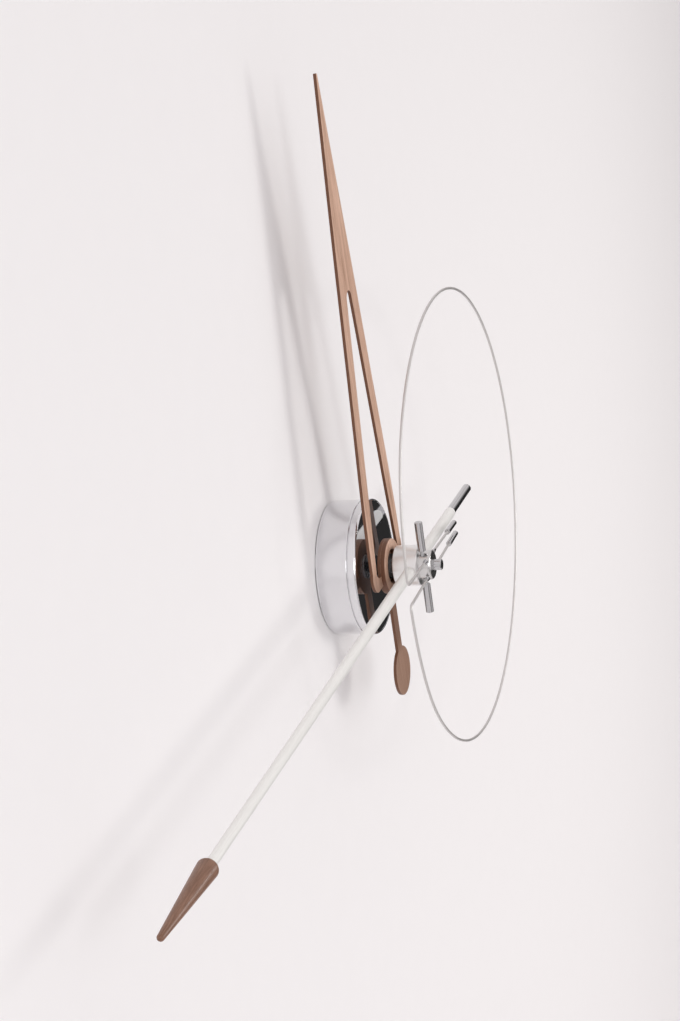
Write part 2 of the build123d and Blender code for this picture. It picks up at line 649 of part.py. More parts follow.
# Minute arbor: pivot, seat of the centre wheel, cannon pinion and the long shaft to the hub
CANNON_BACK, CANNON_TOP = 23.6, 26.0
ARBOR_TOP = 69.0
CENTRE_PIVOT_BACK, ARBOR_SEAT_BACK = 16.3, 19.2
cannon_outline = gear_sketch(CANNON_TEETH, MOTION_MODULE, PINION_ADDENDUM, MINUTE_DIRECTION)
with BuildPart() as minute_arbor:
    with BuildSketch(dial_plane(CENTRE_PIVOT_BACK)):
        Circle(CENTRE_PIVOT)
    extrude(amount=CANNON_BACK - CENTRE_PIVOT_BACK)
    with BuildSketch(dial_plane(ARBOR_SEAT_BACK)):
        Circle(ARBOR_SEAT)
    extrude(amount=CANNON_BACK - ARBOR_SEAT_BACK)
    with BuildSketch(dial_plane(CANNON_BACK)):
        add(cannon_outline)
    extrude(amount=CANNON_TOP - CANNON_BACK)
    with BuildSketch(dial_plane(CANNON_TOP)):
        Circle(ARBOR_RADIUS)
    extrude(amount=ARBOR_TOP - CANNON_TOP)
finish(minute_arbor.part, "minute_arbor")

# Third wheel with its pinion, in mesh with the centre wheel
third_pinion_outline = gear_sketch(
    THIRD_PINION_TEETH, DRIVE_MODULE, PINION_ADDENDUM, facing_gap(THIRD_DIRECTION + 180, THIRD_PINION_TEETH)
)
THIRD_PIVOTS, THIRD_SHAFT = (16.6, 25.8), (19.0, 23.3)
THIRD_PINION, THIRD_DISC = (19.4, 21.8), (22.2, 23.2)
THIRD_SHAFT_RADIUS = 0.8
THIRD_WINDOW_AT, THIRD_WINDOW = 6.4, 2.3
third_outline = gear_sketch(THIRD_TEETH, ROTOR_MODULE, WHEEL_ADDENDUM, ROTOR_DIRECTION)
with BuildPart() as third_wheel:
    with BuildSketch(dial_plane(THIRD_PIVOTS[0], 0, *THIRD_AT)):
        Circle(THIRD_PIVOT)
    extrude(amount=THIRD_PIVOTS[1] - THIRD_PIVOTS[0])
    with BuildSketch(dial_plane(THIRD_SHAFT[0], 0, *THIRD_AT)):
        Circle(THIRD_SHAFT_RADIUS)
    extrude(amount=THIRD_SHAFT[1] - THIRD_SHAFT[0])
    with BuildSketch(dial_plane(THIRD_PINION[0], 0, *THIRD_AT)):
        add(third_pinion_outline)
    extrude(amount=THIRD_PINION[1] - THIRD_PINION[0])
    with BuildSketch(dial_plane(THIRD_DISC[0], 0, *THIRD_AT)):
        add(third_outline)
        with PolarLocations(THIRD_WINDOW_AT, WHEEL_WINDOWS):
            Circle(THIRD_WINDOW, mode=Mode.SUBTRACT)
    extrude(amount=THIRD_DISC[1] - THIRD_DISC[0])
finish(third_wheel.part, "third_wheel")

# Rotor: magnet on an arbor with a pinion, in mesh with the third wheel
rotor_outline = gear_sketch(
    ROTOR_TEETH, ROTOR_MODULE, PINION_ADDENDUM, facing_gap(ROTOR_DIRECTION + 180, ROTOR_TEETH)
)
ROTOR_PIVOTS, ROTOR_SHAFT, ROTOR_PINION = (15.2, 26.7), (16.7, 24.1), (21.4, 23.9)
ROTOR_SHAFT_RADIUS = 0.7
MAGNET_BACK, MAGNET_LENGTH = 16.8, 3.0
MAGNET_RADIUS, MAGNET_CHAMFER = 3.2, 0.2
with BuildPart() as rotor_pinion:
    with BuildSketch(dial_plane(ROTOR_PIVOTS[0], 0, *ROTOR_AT)):
        Circle(ROTOR_PIVOT)
    extrude(amount=ROTOR_PIVOTS[1] - ROTOR_PIVOTS[0])
    with BuildSketch(dial_plane(ROTOR_SHAFT[0], 0, *ROTOR_AT)):
        Circle(ROTOR_SHAFT_RADIUS)
    extrude(amount=ROTOR_SHAFT[1] - ROTOR_SHAFT[0])
    with BuildSketch(dial_plane(ROTOR_PINION[0], 0, *ROTOR_AT)):
        add(rotor_outline)
    extrude(amount=ROTOR_PINION[1] - ROTOR_PINION[0])
finish(rotor_pinion.part, "rotor_pinion")

with BuildPart() as rotor_magnet:
    with BuildSketch(dial_plane(MAGNET_BACK, 0, *ROTOR_AT)):
        Circle(MAGNET_RADIUS)
        Circle(ROTOR_SHAFT_RADIUS, mode=Mode.SUBTRACT)
    extrude(amount=MAGNET_LENGTH)
    circles = rotor_magnet.edges().filter_by(GeomType.CIRCLE)
    magnet_rims = circles.filter_by(lambda e: e.radius > MAGNET_RADIUS - FIT)
    chamfer(magnet_rims, MAGNET_CHAMFER)
finish(rotor_magnet.part, "rotor_magnet")

# Minute wheel: carries the cannon pinion's motion to the hour wheel, and the setting shaft
minute_outline = gear_sketch(
    MINUTE_TEETH, MOTION_MODULE, WHEEL_ADDENDUM, facing_gap(MINUTE_DIRECTION + 180, MINUTE_TEETH)
)
minute_pinion_outline = gear_sketch(
    MINUTE_PINION_TEETH, MOTION_MODULE, PINION_ADDENDUM, MINUTE_DIRECTION + 180
)
KNOB_BACK, KNOB_FRONT = 8.6, 13.6
KNURL_AT, KNURL_RADIUS, KNURL_COUNT = 6.2, 0.45, 24
SETTING_KNOB_RADIUS = 6.0
MINUTE_DISC, MINUTE_PINION_TOP, MINUTE_PIVOT_TOP = (24.0, 25.4), 29.0, 31.4
MINUTE_WINDOW_AT, MINUTE_WINDOW = 6.2, 2.2
with BuildPart() as minute_wheel:
    with BuildSketch(dial_plane(KNOB_BACK, 0, *MINUTE_AT)):
        Circle(KNOB_SHAFT_RADIUS)
    extrude(amount=MINUTE_DISC[1] - KNOB_BACK)
    with BuildSketch(dial_plane(MINUTE_DISC[0], 0, *MINUTE_AT)):
        add(minute_outline)
        with PolarLocations(MINUTE_WINDOW_AT, WHEEL_WINDOWS):
            Circle(MINUTE_WINDOW, mode=Mode.SUBTRACT)
    extrude(amount=MINUTE_DISC[1] - MINUTE_DISC[0])
    with BuildSketch(dial_plane(MINUTE_DISC[1], 0, *MINUTE_AT)):
        add(minute_pinion_outline)
    extrude(amount=MINUTE_PINION_TOP - MINUTE_DISC[1])
    with BuildSketch(dial_plane(MINUTE_PINION_TOP, 0, *MINUTE_AT)):
        Circle(MINUTE_PIVOT)
    extrude(amount=MINUTE_PIVOT_TOP - MINUTE_PINION_TOP)
finish(minute_wheel.part, "minute_wheel")

with BuildPart() as setting_knob:
    with BuildSketch(dial_plane(KNOB_BACK, 0, *MINUTE_AT)):
        Circle(SETTING_KNOB_RADIUS)
        with PolarLocations(KNURL_AT, KNURL_COUNT):
            Circle(KNURL_RADIUS, mode=Mode.SUBTRACT)
        Circle(KNOB_SHAFT_RADIUS, mode=Mode.SUBTRACT)
    extrude(amount=KNOB_FRONT - KNOB_BACK)
finish(setting_knob.part, "setting_knob")

# Hour wheel and its pipe, which turns in the threaded bush and carries the hour hand
HOUR_WHEEL_BACK, HOUR_WHEEL_TOP = 27.0, 28.4
hour_outline = gear_sketch(
    HOUR_TEETH, MOTION_MODULE, WHEEL_ADDENDUM, facing_gap(MINUTE_DIRECTION, HOUR_TEETH)
)
with BuildPart() as hour_wheel:
    with BuildSketch(dial_plane(HOUR_WHEEL_BACK)):
        add(hour_outline)
    extrude(amount=HOUR_WHEEL_TOP - HOUR_WHEEL_BACK)
    with BuildSketch(dial_plane(HOUR_WHEEL_TOP)):
        Circle(PIPE_RADIUS)
    extrude(amount=PIPE_TOP - HOUR_WHEEL_TOP)
    with BuildSketch(dial_plane(HOUR_WHEEL_BACK)):
        Circle(PIPE_BORE)
    extrude(amount=PIPE_TOP - HOUR_WHEEL_BACK, mode=Mode.SUBTRACT)
finish(hour_wheel.part, "hour_wheel")

# ---------------------------------------------------------------- hour hand

BLADE_TOP = BLADE_BACK + BLADE_THICKNESS
COLLET_TOP = PIPE_TOP - 0.5

with BuildPart() as hour_collet:
    with BuildSketch(dial_plane(BLADE_BACK - COLLET_FLANGE)):
        Circle(COLLET_FLANGE_RADIUS)
    extrude(amount=COLLET_FLANGE)
    with BuildSketch(dial_plane(BLADE_BACK)):
        Circle(COLLET_RADIUS)
    extrude(amount=COLLET_TOP - BLADE_BACK)
    with BuildSketch(dial_plane(BLADE_BACK - COLLET_FLANGE)):
        Circle(PIPE_RADIUS)
    extrude(amount=COLLET_TOP - BLADE_BACK + COLLET_FLANGE, mode=Mode.SUBTRACT)
finish(hour_collet.part, "hour_collet")

# Blade: slender forked plate that tapers to a point, with arms to its boss and a tail with a paddle
with BuildPart() as hour_blade:
    with BuildSketch(dial_plane(BLADE_BACK, HOUR_TURN)) as blade_outline:
        with BuildLine():
            tip_right = (TIP_NOSE, BLADE_TIP - TIP_NOSE)
            shoulder = (BLADE_HALF_WIDTH, SHOULDER_ALONG)
            heel = (HEEL_ACROSS, -BLADE_FOOT)
            Spline(
                tip_right,
                (10.3, 375.0),
                (19.2, 301.0),
                (28.4, 216.0),
                (35.8, 148.0),
                (40.8, 107.0),
                (45.4, 62.0),
                shoulder,
            )
            ThreePointArc(shoulder, (45.5, -6.0), heel)
            Line(heel, (0, -BLADE_FOOT))
            Line((0, -BLADE_FOOT), (0, BLADE_TIP))
            ThreePointArc((0, BLADE_TIP), (1.0, BLADE_TIP - 0.45), tip_right)
        make_face()
        with BuildLine():
            slot_foot = (SLOT_HALF_WIDTH, SLOT_CORNER_TOP)
            slot_corner = (SLOT_CORNER_START, SLOT_BOTTOM)
            slot_head = (SLOT_HEAD_HALF_WIDTH, SLOT_HEAD_START)
            Line((0, SLOT_TOP), (0, SLOT_BOTTOM))
            Line((0, SLOT_BOTTOM), slot_corner)
            ThreePointArc(slot_corner, (32.0, 1.2), slot_foot)
            Spline(
                slot_foot,
                (33.9, 30.0),
                (29.8, 62.0),
                (23.6, 118.0),
                (18.6, 160.0),
                (14.4, 196.0),
                (11.0, 226.0),
                slot_head,
            )
            ThreePointArc(slot_head, (4.8, 260.0), (0, SLOT_TOP))
        make_face(mode=Mode.SUBTRACT)
        mirror(about=Plane.YZ)
        Circle(BOSS_RADIUS)
        with Locations((0, -PADDLE_CENTRE / 2)):
            Rectangle(2 * TAIL_HALF_WIDTH, PADDLE_CENTRE)
        with Locations((0, -PADDLE_CENTRE)):
            Circle(PADDLE_RADIUS)
        Circle(COLLET_RADIUS, mode=Mode.SUBTRACT)
    extrude(amount=BLADE_THICKNESS)
finish(hour_blade.part, "hour_blade")

# Boss: turned walnut ring on the face of the blade
with BuildPart() as hour_boss:
    with BuildSketch(dial_plane(BLADE_TOP)):
        Circle(BOSS_RADIUS)
        Circle(BOSS_BORE, mode=Mode.SUBTRACT)
    extrude(amount=BOSS_THICKNESS)
    fillet(hour_boss.edges().group_by(Axis.Y)[0], BOSS_ROUNDING)
finish(hour_boss.part, "hour_boss")

with BuildPart() as collet_nut:
    with BuildSketch(dial_plane(BLADE_TOP)):
        Circle(COLLET_NUT_RADIUS)
        Circle(COLLET_RADIUS, mode=Mode.SUBTRACT)
        with PolarLocations(COLLET_NUT_RADIUS, 4):
            Circle(SPANNER_SLOT_RADIUS, mode=Mode.SUBTRACT)
    extrude(amount=COLLET_NUT_THICKNESS)
finish(collet_nut.part, "collet_nut")

# ---------------------------------------------------------------- hub of the minute hand

with BuildPart() as hub_barrel:
    with BuildSketch(dial_plane(BARREL_BACK)):
        Circle(BARREL_RADIUS)
    extrude(amount=BARREL_TOP - BARREL_BACK)
    chamfer(hub_barrel.edges().filter_by(GeomType.CIRCLE), 0.6)
    with BuildSketch(dial_plane(BARREL_BACK)):
        Circle(ARBOR_RADIUS)
    extrude(amount=ARBOR_TOP - BARREL_BACK, mode=Mode.SUBTRACT)
    with BuildSketch(cross_plane(ROD_HEIGHT, MINUTE_TURN, -BARREL_RADIUS, 0)):
        Circle(ROD_RADIUS)
    extrude(amount=2 * BARREL_RADIUS, mode=Mode.SUBTRACT)
    for height in (ROD_HEIGHT, ARBOR_SCREW_HEIGHT):
        with BuildSketch(cross_plane(height, MINUTE_TURN, 0, -90)):
            Circle(SET_SCREW_RADIUS)
        extrude(amount=BARREL_RADIUS, mode=Mode.SUBTRACT)
finish(hub_barrel.part, "hub_barrel")

# Set screws of the barrel: one on the rod, one on the arbor
with BuildPart() as hub_set_screws:
    for height, start in ((ROD_HEIGHT, ROD_RADIUS), (ARBOR_SCREW_HEIGHT, ARBOR_RADIUS)):
        with BuildSketch(cross_plane(height, MINUTE_TURN, start, -90)):
            Circle(SET_SCREW_RADIUS)
        extrude(amount=BARREL_RADIUS - SET_SCREW_SINK - start)
        with BuildSketch(cross_plane(height, MINUTE_TURN, BARREL_RADIUS - SET_SCREW_SINK, -90)):
            RegularPolygon(HEX_SOCKET_RADIUS, 6)
        extrude(amount=-HEX_SOCKET_DEPTH, mode=Mode.SUBTRACT)
finish(hub_set_screws.part, "hub_set_screws")

# Wire route in the plane of the ring: Y along the rod towards its tip
FLAT_RISE = RING_RADIUS * (1 - cos(radians(FLAT_START))) - RING_FLATTENING
FLAT_RUN = RING_RADIUS * sin(radians(FLAT_START))
RING_APEX = RING_RADIUS - RING_OFFSET - RING_FLATTENING


def flat_radii():
    """Radii of the two arcs that flatten the ring beside its gap, tangent to each other and the ring."""
    a, b = radians(FLAT_START), radians(FLAT_MIDDLE)
    run_1, run_2 = sin(a) - sin(b), sin(b)
    rise_1, rise_2 = cos(b) - cos(a), 1 - cos(b)
    scale = run_1 * rise_2 - run_2 * rise_1
    return ((FLAT_RUN * rise_2 - run_2 * FLAT_RISE) / scale, (run_1 * FLAT_RISE - FLAT_RUN * rise_1) / scale)


OUTER_FLAT, INNER_FLAT = flat_radii()

def near_arc(angle):
    """Point on the arc beside the gap."""
    a = radians(angle)
    return (INNER_FLAT * sin(a), RING_APEX - INNER_FLAT * (1 - cos(a)))


def next_arc(angle):
    """Point on the arc that joins the near arc to the ring."""
    a, b = radians(angle), radians(FLAT_MIDDLE)
    x, y = near_arc(FLAT_MIDDLE)
    return (x + OUTER_FLAT * (sin(a) - sin(b)), y + OUTER_FLAT * (cos(a) - cos(b)))


corner_angle = degrees(WIRE_SPREAD_AT_BEND / INNER_FLAT)
corner = near_arc(corner_angle)


def wire_x(y):
    """Distance of the straight wire from the rod's line at y."""
    return corner[0] - (corner[1] - y) * (corner[0] - WIRE_SPREAD_AT_END) / (corner[1] + SLEEVE_END)


wire_start = (wire_x(-WIRE_END), -WIRE_END)
half_route = [
    (corner, near_arc((corner_angle + FLAT_MIDDLE) / 2), near_arc(FLAT_MIDDLE)),
    (next_arc(FLAT_MIDDLE), next_arc((FLAT_START + FLAT_MIDDLE) / 2), next_arc(FLAT_START)),
]


def mirrored(point):
    return (-point[0], point[1])


ring_plane = dial_plane(WIRE_HEIGHT, MINUTE_TURN)


def at_corner(vertex):
    """True at the two ends of the ring, where the wire turns towards the hub."""
    place = ring_plane.to_local_coords(vertex.center())
    return abs(abs(place.X) - corner[0]) < 0.01 and abs(place.Y - corner[1]) < 0.01


with BuildPart() as wire_ring:
    with BuildLine(ring_plane) as route:
        Line(wire_start, corner)
        for arc in half_route:
            ThreePointArc(*arc)
        ThreePointArc(next_arc(FLAT_START), (0, -RING_OFFSET - RING_RADIUS), mirrored(next_arc(FLAT_START)))
        for arc in reversed(half_route):
            ThreePointArc(*[mirrored(p) for p in reversed(arc)])
        Line(mirrored(corner), mirrored(wire_start))
        fillet(route.vertices().filter_by(at_corner), BEND_RADIUS)
    with BuildSketch(Plane(origin=route.line @ 0, z_dir=route.line % 0)):
        Circle(WIRE_RADIUS)
    sweep()
finish(wire_ring.part, "wire_ring")


def wire_plane(side, y):
    """Plane across a straight wire at y, its normal towards the tail."""
    base = dial_plane(WIRE_HEIGHT, MINUTE_TURN)
    along = base.from_local_coords((side * wire_x(y), y, 0))
    ahead = base.from_local_coords((side * wire_x(y - 1), y - 1, 0))
    return Plane(origin=along, z_dir=Vector(*ahead) - Vector(*along))


SIDES = (1, -1)
with BuildPart() as wire_end_sleeves:
    for side in SIDES:
        with BuildSketch(wire_plane(side, -SLEEVE_START)):
            Circle(SLEEVE_RADIUS)
        extrude(amount=SLEEVE_END - SLEEVE_START)
    chamfer(wire_end_sleeves.edges().filter_by(GeomType.CIRCLE), 0.35)
    for side in SIDES:
        with BuildSketch(wire_plane(side, -SLEEVE_START)):
            Circle(WIRE_RADIUS)
        extrude(amount=WIRE_END - SLEEVE_START, mode=Mode.SUBTRACT)
finish(wire_end_sleeves.part, "wire_end_sleeves")

# Ferrules: small cones on the wires, on both sides of the hub block
with BuildPart() as wire_ferrules:
    for side in SIDES:
        for y, length in ((FERRULE_START, -FERRULE_LENGTH), (-FERRULE_START, FERRULE_LENGTH)):
            with BuildSketch(wire_plane(side, y)):
                Circle(FERRULE_RADIUS)
            with BuildSketch(wire_plane(side, y).offset(length)):
                Circle(WIRE_RADIUS + FERRULE_WALL)
            loft()
    for side in SIDES:
        with BuildSketch(wire_plane(side, WIRE_BORE_START)):
            Circle(WIRE_RADIUS)
        extrude(amount=2 * WIRE_BORE_START, mode=Mode.SUBTRACT)
finish(wire_ferrules.part, "wire_ferrules")

with BuildPart() as hub_block:
    with BuildSketch(dial_plane(BARREL_TOP)):
        Circle(BLOCK_RADIUS)
    extrude(amount=BLOCK_TOP - BARREL_TOP)
    fillet(hub_block.edges().filter_by(GeomType.CIRCLE).sort_by(Axis.Y)[0], BLOCK_ROUNDING)
    for side in SIDES:
        with BuildSketch(wire_plane(side, WIRE_BORE_START)):
            Circle(WIRE_RADIUS)
        extrude(amount=2 * WIRE_BORE_START, mode=Mode.SUBTRACT)
    with BuildSketch(bar_plane(-BLOCK_RADIUS, 90)):
        Circle(BAR_PIN_RADIUS)
    extrude(amount=2 * BLOCK_RADIUS, mode=Mode.SUBTRACT)
    with BuildSketch(dial_plane(KNOB_STUD_BACK)):
        Circle(KNOB_STUD_RADIUS)
    extrude(amount=BLOCK_TOP - KNOB_STUD_BACK, mode=Mode.SUBTRACT)
finish(hub_block.part, "hub_block")

# Clamp knob: its stud screws down through the block between the two wires
with BuildPart() as clamp_knob:
    with BuildSketch(dial_plane(BLOCK_TOP)):
        Circle(KNOB_RADIUS)
    extrude(amount=KNOB_TOP - BLOCK_TOP)
    chamfer(clamp_knob.edges().sort_by(Axis.Y)[0], 0.7)
    with BuildSketch(dial_plane(BLOCK_TOP)):
        Circle(KNOB_RADIUS)
        Circle(KNOB_RADIUS - KNOB_NECK, mode=Mode.SUBTRACT)
    extrude(amount=KNOB_NECK_LENGTH, mode=Mode.SUBTRACT)
    with BuildSketch(dial_plane(KNOB_STUD_BACK)):
        Circle(KNOB_STUD_RADIUS)
    extrude(amount=BLOCK_TOP - KNOB_STUD_BACK)
finish(clamp_knob.part, "clamp_knob")

with BuildPart() as cross_pin:
    with BuildSketch(bar_plane(-BAR_WEIGHT_START - BAR_PIN_DEPTH, 90)):
        Circle(BAR_PIN_RADIUS)
    extrude(amount=2 * (BAR_WEIGHT_START + BAR_PIN_DEPTH))
finish(cross_pin.part, "cross_pin")

with BuildPart() as cross_weights:
    for direction in (90, -90):
        with BuildSketch(bar_plane(BAR_WEIGHT_START, direction)):
            Circle(BAR_WEIGHT_RADIUS)
        extrude(amount=BAR_WEIGHT_END - BAR_WEIGHT_START)
    chamfer(cross_weights.edges().filter_by(GeomType.CIRCLE), 0.4)
    for direction in (90, -90):
        with BuildSketch(bar_plane(BAR_WEIGHT_START, direction)):
            Circle(BAR_PIN_RADIUS)
        extrude(amount=BAR_PIN_DEPTH, mode=Mode.SUBTRACT)
finish(cross_weights.part, "cross_weights")

# ---------------------------------------------------------------- rod of the minute hand

rod_plane = dial_plane(ROD_HEIGHT, MINUTE_TURN)
rod_axis = Axis(rod_plane.origin, rod_plane.y_dir)

with BuildPart() as minute_rod:
    with BuildSketch(rod_plane):
        with BuildLine():
            Polyline(
                (ROD_BORE, -ROD_TAIL),
                (ROD_RADIUS, -ROD_TAIL),
                (ROD_RADIUS, ROD_STRAIGHT),
                (ROD_TIP_RADIUS, TIP_START),
                (ROD_TIP_RADIUS, TIP_START + TIP_SOCKET),
                (ROD_BORE, TIP_START + TIP_SOCKET),
                close=True,
            )
        make_face()
    revolve(axis=rod_axis)
finish(minute_rod.part, "minute_rod")

# Walnut tip: rounded shoulder, straight taper, rounded nose
with BuildPart() as rod_tip:
    with BuildSketch(rod_plane):
        with BuildLine():
            shoulder_start = (TIP_RADIUS - 2.6, TIP_START)
            shoulder_end = (TIP_RADIUS, TIP_START + TIP_SHOULDER)
            nose_centre = TIP_END - TIP_NOSE_RADIUS
            nose = (TIP_NOSE_RADIUS, nose_centre)
            nose_middle = (TIP_NOSE_RADIUS * sin(pi / 4), nose_centre + TIP_NOSE_RADIUS * cos(pi / 4))
            ThreePointArc(shoulder_start, (TIP_RADIUS - 0.8, TIP_START + 1.2), shoulder_end)
            Line(shoulder_end, nose)
            ThreePointArc(nose, nose_middle, (0, TIP_END))
            Polyline((0, TIP_END), (0, TIP_START), shoulder_start)
        make_face()
    revolve(axis=rod_axis)
    with BuildSketch(cross_plane(ROD_HEIGHT, MINUTE_TURN, TIP_START, 0)):
        Circle(ROD_TIP_RADIUS)
    extrude(amount=TIP_SOCKET, mode=Mode.SUBTRACT)
finish(rod_tip.part, "rod_tip")

with BuildPart() as rod_weight:
    with BuildSketch(cross_plane(ROD_HEIGHT, MINUTE_TURN, ROD_TAIL, 180)):
        Circle(WEIGHT_RADIUS)
    extrude(amount=WEIGHT_END - ROD_TAIL)
    chamfer(rod_weight.edges().filter_by(GeomType.CIRCLE), 0.5)
    with BuildSketch(cross_plane(ROD_HEIGHT, MINUTE_TURN, ROD_TAIL - SPIGOT, 180)):
        Circle(ROD_BORE)
    extrude(amount=SPIGOT)
finish(rod_weight.part, "rod_weight")
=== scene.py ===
"""Looks of the wall clock: materials, refined edges, studio and camera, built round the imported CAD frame."""
import json
import math

import bmesh
import bpy
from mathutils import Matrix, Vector


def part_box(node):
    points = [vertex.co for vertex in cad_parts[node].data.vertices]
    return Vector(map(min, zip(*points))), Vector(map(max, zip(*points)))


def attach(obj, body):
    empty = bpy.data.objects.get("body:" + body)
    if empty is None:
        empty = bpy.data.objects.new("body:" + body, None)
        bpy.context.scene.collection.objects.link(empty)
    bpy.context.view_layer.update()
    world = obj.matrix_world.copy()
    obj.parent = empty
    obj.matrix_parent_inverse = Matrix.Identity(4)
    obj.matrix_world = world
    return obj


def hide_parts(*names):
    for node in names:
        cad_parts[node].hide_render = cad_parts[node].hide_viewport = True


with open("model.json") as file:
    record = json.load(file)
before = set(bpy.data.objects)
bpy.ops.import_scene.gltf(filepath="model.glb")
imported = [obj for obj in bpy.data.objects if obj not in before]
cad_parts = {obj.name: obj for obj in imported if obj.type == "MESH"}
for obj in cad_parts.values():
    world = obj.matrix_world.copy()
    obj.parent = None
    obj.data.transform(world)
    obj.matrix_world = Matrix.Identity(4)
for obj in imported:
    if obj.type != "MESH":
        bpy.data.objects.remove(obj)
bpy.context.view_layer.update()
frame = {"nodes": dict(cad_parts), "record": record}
nodes = frame["nodes"]
body_of = {node: body for body, members in frame["record"]["behaviour"]["bodies"].items() for node in members}
slot_of = {part["node"]: part["material_slot"] for part in frame["record"]["subparts"]}

MM = 0.001


def centre(node):
    low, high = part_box(node)
    return (low + high) / 2


def turn_of(point):
    """Direction from the axis of the hands, clockwise from twelve, in radians."""
    return math.atan2(point.x, point.z)


blade_tip = max((v.co for v in nodes["hour_blade"].data.vertices), key=lambda co: co.x ** 2 + co.z ** 2)
HOUR_TURN = turn_of(blade_tip)
MINUTE_TURN = turn_of(centre("rod_tip"))

WALNUT_DARK, WALNUT_MEAN, WALNUT_LIGHT = (0.42, 0.245, 0.165), (0.66, 0.425, 0.310), (0.78, 0.530, 0.405)
STREAK = (0.36, 0.20, 0.13, 1.0)
PORE = (0.13, 0.065, 0.04, 1.0)
TAIL_DARK, TAIL_LIGHT = (0.10, 0.050, 0.032, 1.0), (0.30, 0.165, 0.110, 1.0)
# On a flat piece these darken the sides and back as painted shade, on the sides together with dark cut edges;
# the round tip uses them for its darker wood.
SIDE_DARK, SIDE_LIGHT = (0.085, 0.033, 0.015, 1.0), (0.21, 0.090, 0.046, 1.0)
TAIL_LENGTH = 0.14
FLAT_COAT, FLAT_COAT_ROUGHNESS = 0.06, 0.35
ROUND_COAT, ROUND_COAT_ROUGHNESS = 0.22, 0.20

# ---------------------------------------------------------------- shader helpers


class Shader:
    """A node material with one Principled shader, built by short calls."""

    def __init__(self, name, **settings):
        self.material = bpy.data.materials.new(name)
        self.material.use_nodes = True
        self.tree = self.material.node_tree
        self.surface = self.tree.nodes["Principled BSDF"]
        for socket, value in settings.items():
            self.surface.inputs[socket.replace("_", " ")].default_value = value

    def node(self, kind, inputs=None, **properties):
        made = self.tree.nodes.new("ShaderNode" + kind)
        for key, value in properties.items():
            setattr(made, key, value)
        for key, value in (inputs or {}).items():
            self.feed(made.inputs[key], value)
        return made

    def feed(self, socket, value):
        if isinstance(value, bpy.types.NodeSocket):
            self.tree.links.new(value, socket)
        else:
            socket.default_value = value

    def place(self):
        return self.node("TexCoord").outputs["Object"]

    def stretched(self, turn, across, along):
        """Object coordinates turned so that Z runs along a hand, then scaled across and along it."""
        turned = self.node("VectorRotate", {"Vector": self.place(), "Angle": -turn}, rotation_type="Y_AXIS")
        return self.node("Mapping", {"Vector": turned.outputs[0], "Scale": (across, across, along)}).outputs[0]

    def noise(self, vector, scale, detail=3.0, roughness=0.5, distortion=0.0):
        settings = {"Scale": scale, "Detail": detail, "Roughness": roughness, "Distortion": distortion}
        return self.node("TexNoise", {"Vector": vector, **settings}).outputs["Fac"]

    def ramp(self, value, *stops):
        """Colour ramp; each stop is (position, grey or (r, g, b))."""
        made = self.node("ValToRGB", {"Fac": value})
        band = made.color_ramp
        while len(band.elements) < len(stops):
            band.elements.new(0.5)
        for element, (position, colour) in zip(band.elements, stops):
            element.position = position
            shade = colour if isinstance(colour, tuple) else (colour, colour, colour)
            element.color = (*shade, 1.0)
        return made.outputs["Color"]

    def math(self, operation, a, b):
        return self.node("Math", {0: a, 1: b}, operation=operation).outputs[0]

    def span(self, value, low, high):
        """Maps 0..1 to low..high."""
        return self.node("MapRange", {"Value": value, "To Min": low, "To Max": high}).outputs[0]

    def mix(self, factor, a, b, blend="MIX"):
        made = self.node("Mix", data_type="RGBA", blend_type=blend)
        self.feed(made.inputs["Factor"], factor)
        self.feed(made.inputs["A"], a)
        self.feed(made.inputs["B"], b)
        return made.outputs["Result"]

    def bump(self, height, distance, strength=1.0):
        made = self.node("Bump", {"Height": height, "Distance": distance, "Strength": strength})
        self.feed(self.surface.inputs["Normal"], made.outputs["Normal"])

    def set(self, **sockets):
        for name, value in sockets.items():
            self.feed(self.surface.inputs[name.replace("_", " ")], value)
        return self


